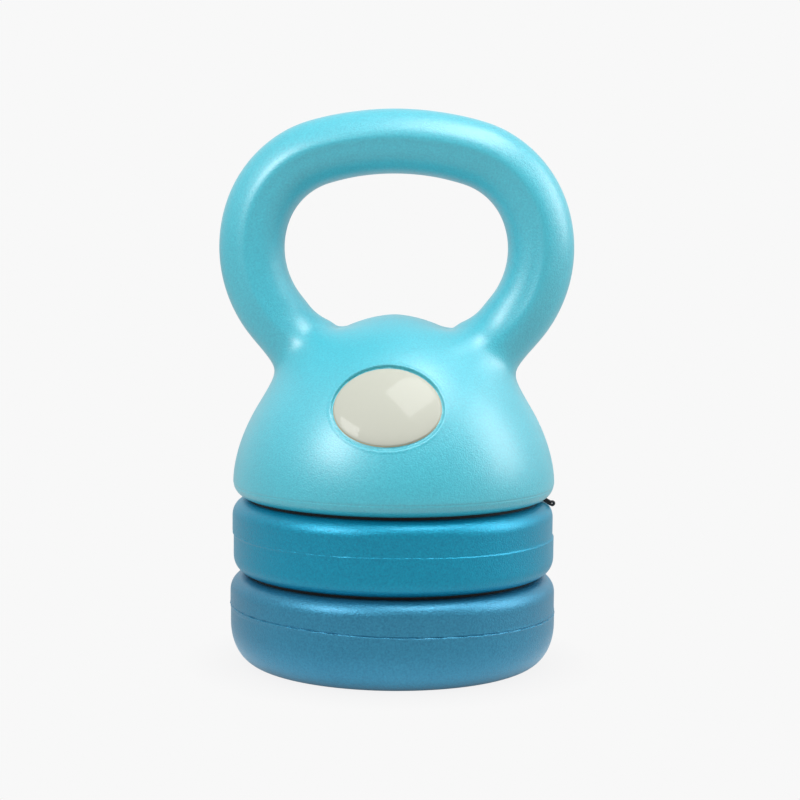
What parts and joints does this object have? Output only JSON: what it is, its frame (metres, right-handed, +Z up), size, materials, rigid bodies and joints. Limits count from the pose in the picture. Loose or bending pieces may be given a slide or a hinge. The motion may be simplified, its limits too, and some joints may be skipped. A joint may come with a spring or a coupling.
{
  "type": "adjustable kettlebell",
  "caption": "Stacking kettlebell: a hollow filled bell with a loop handle and two screw-on weight plates, each joint with a spring latch and pull loop.",
  "frame": {"origin": "centre of the face that the bottom plate stands on", "axes": "+Z up along the stack's axis, X along the handle, -Y towards the front with the badge"},
  "size_m": [0.18, 0.167, 0.2835],
  "materials": {
    "bell_plastic": "satin pearly turquoise",
    "middle_plastic": "satin pearly teal blue",
    "bottom_plastic": "satin pearly steel blue",
    "filling": "cast cement, sand and iron mix",
    "insert_plastic": "moulded black",
    "screw_steel": "zinc plated",
    "gasket_rubber": "black",
    "plunger_plastic": "moulded cream",
    "spring_steel": "bright wire",
    "cord_black": "glossy coated cord",
    "badge_carrier": "tan carrier with a thin visible rim",
    "badge_face": "glossy cream, domed"
  },
  "bodies": {
    "bottom_plate": {"bottom_shell": "bottom_plastic", "bottom_filling": "filling", "bottom_filler_plug": "insert_plastic", "bottom_boss": "insert_plastic", "bottom_boss_screws": "screw_steel"},
    "lower_joint": {"lower_gasket": "gasket_rubber"},
    "middle_plate": {"middle_shell": "middle_plastic", "middle_filling": "filling", "middle_filler_plug": "insert_plastic", "middle_boss": "insert_plastic", "middle_boss_screws": "screw_steel", "middle_socket": "insert_plastic", "middle_socket_screws": "screw_steel", "middle_latch_guide": "insert_plastic", "middle_latch_screws": "screw_steel"},
    "middle_latch": {"middle_plunger": "plunger_plastic", "middle_spring": "spring_steel", "middle_pull_loop": "cord_black"},
    "upper_joint": {"upper_gasket": "gasket_rubber"},
    "bell": {"bell_shell": "bell_plastic", "bell_filling": "filling", "bell_filler_plug": "insert_plastic", "bell_socket": "insert_plastic", "bell_socket_screws": "screw_steel", "bell_latch_guide": "insert_plastic", "bell_latch_screws": "screw_steel", "badge_plate": "badge_carrier", "badge_dome": "badge_face"},
    "bell_latch": {"bell_plunger": "plunger_plastic", "bell_spring": "spring_steel", "bell_pull_loop": "cord_black"}
  },
  "joints": [
    {"name": "middle_lift", "type": "slide", "parent": "bottom_plate", "child": "lower_joint", "axis": [0, 0, 1], "range_m": [0, 0.0175]},
    {"name": "middle_turn", "type": "hinge", "parent": "lower_joint", "child": "middle_plate", "pos_m": [0, 0, 0.0458], "axis": [0, 0, 1], "range_deg": [0, 210]},
    {"name": "middle_latch_pull", "type": "slide", "parent": "middle_plate", "child": "middle_latch", "axis": [0, 1, 0], "range_m": [0, 0.004], "stiffness_N_per_m": 900, "springref_m": -0.004, "deforming": ["middle_spring"]},
    {"name": "bell_lift", "type": "slide", "parent": "middle_plate", "child": "upper_joint", "axis": [0, 0, 1], "range_m": [0, 0.0175]},
    {"name": "bell_turn", "type": "hinge", "parent": "upper_joint", "child": "bell", "pos_m": [0, 0, 0.0846], "axis": [0, 0, 1], "range_deg": [0, 210]},
    {"name": "bell_latch_pull", "type": "slide", "parent": "bell", "child": "bell_latch", "axis": [1, 0, 0], "range_m": [0, 0.004], "stiffness_N_per_m": 900, "springref_m": -0.004, "deforming": ["bell_spring"]}
  ],
  "couplings": [
    {"joint": "middle_lift", "follows": "middle_turn", "m_per_rad": 0.0047747},
    {"joint": "bell_lift", "follows": "bell_turn", "m_per_rad": 0.0047747}
  ]
}
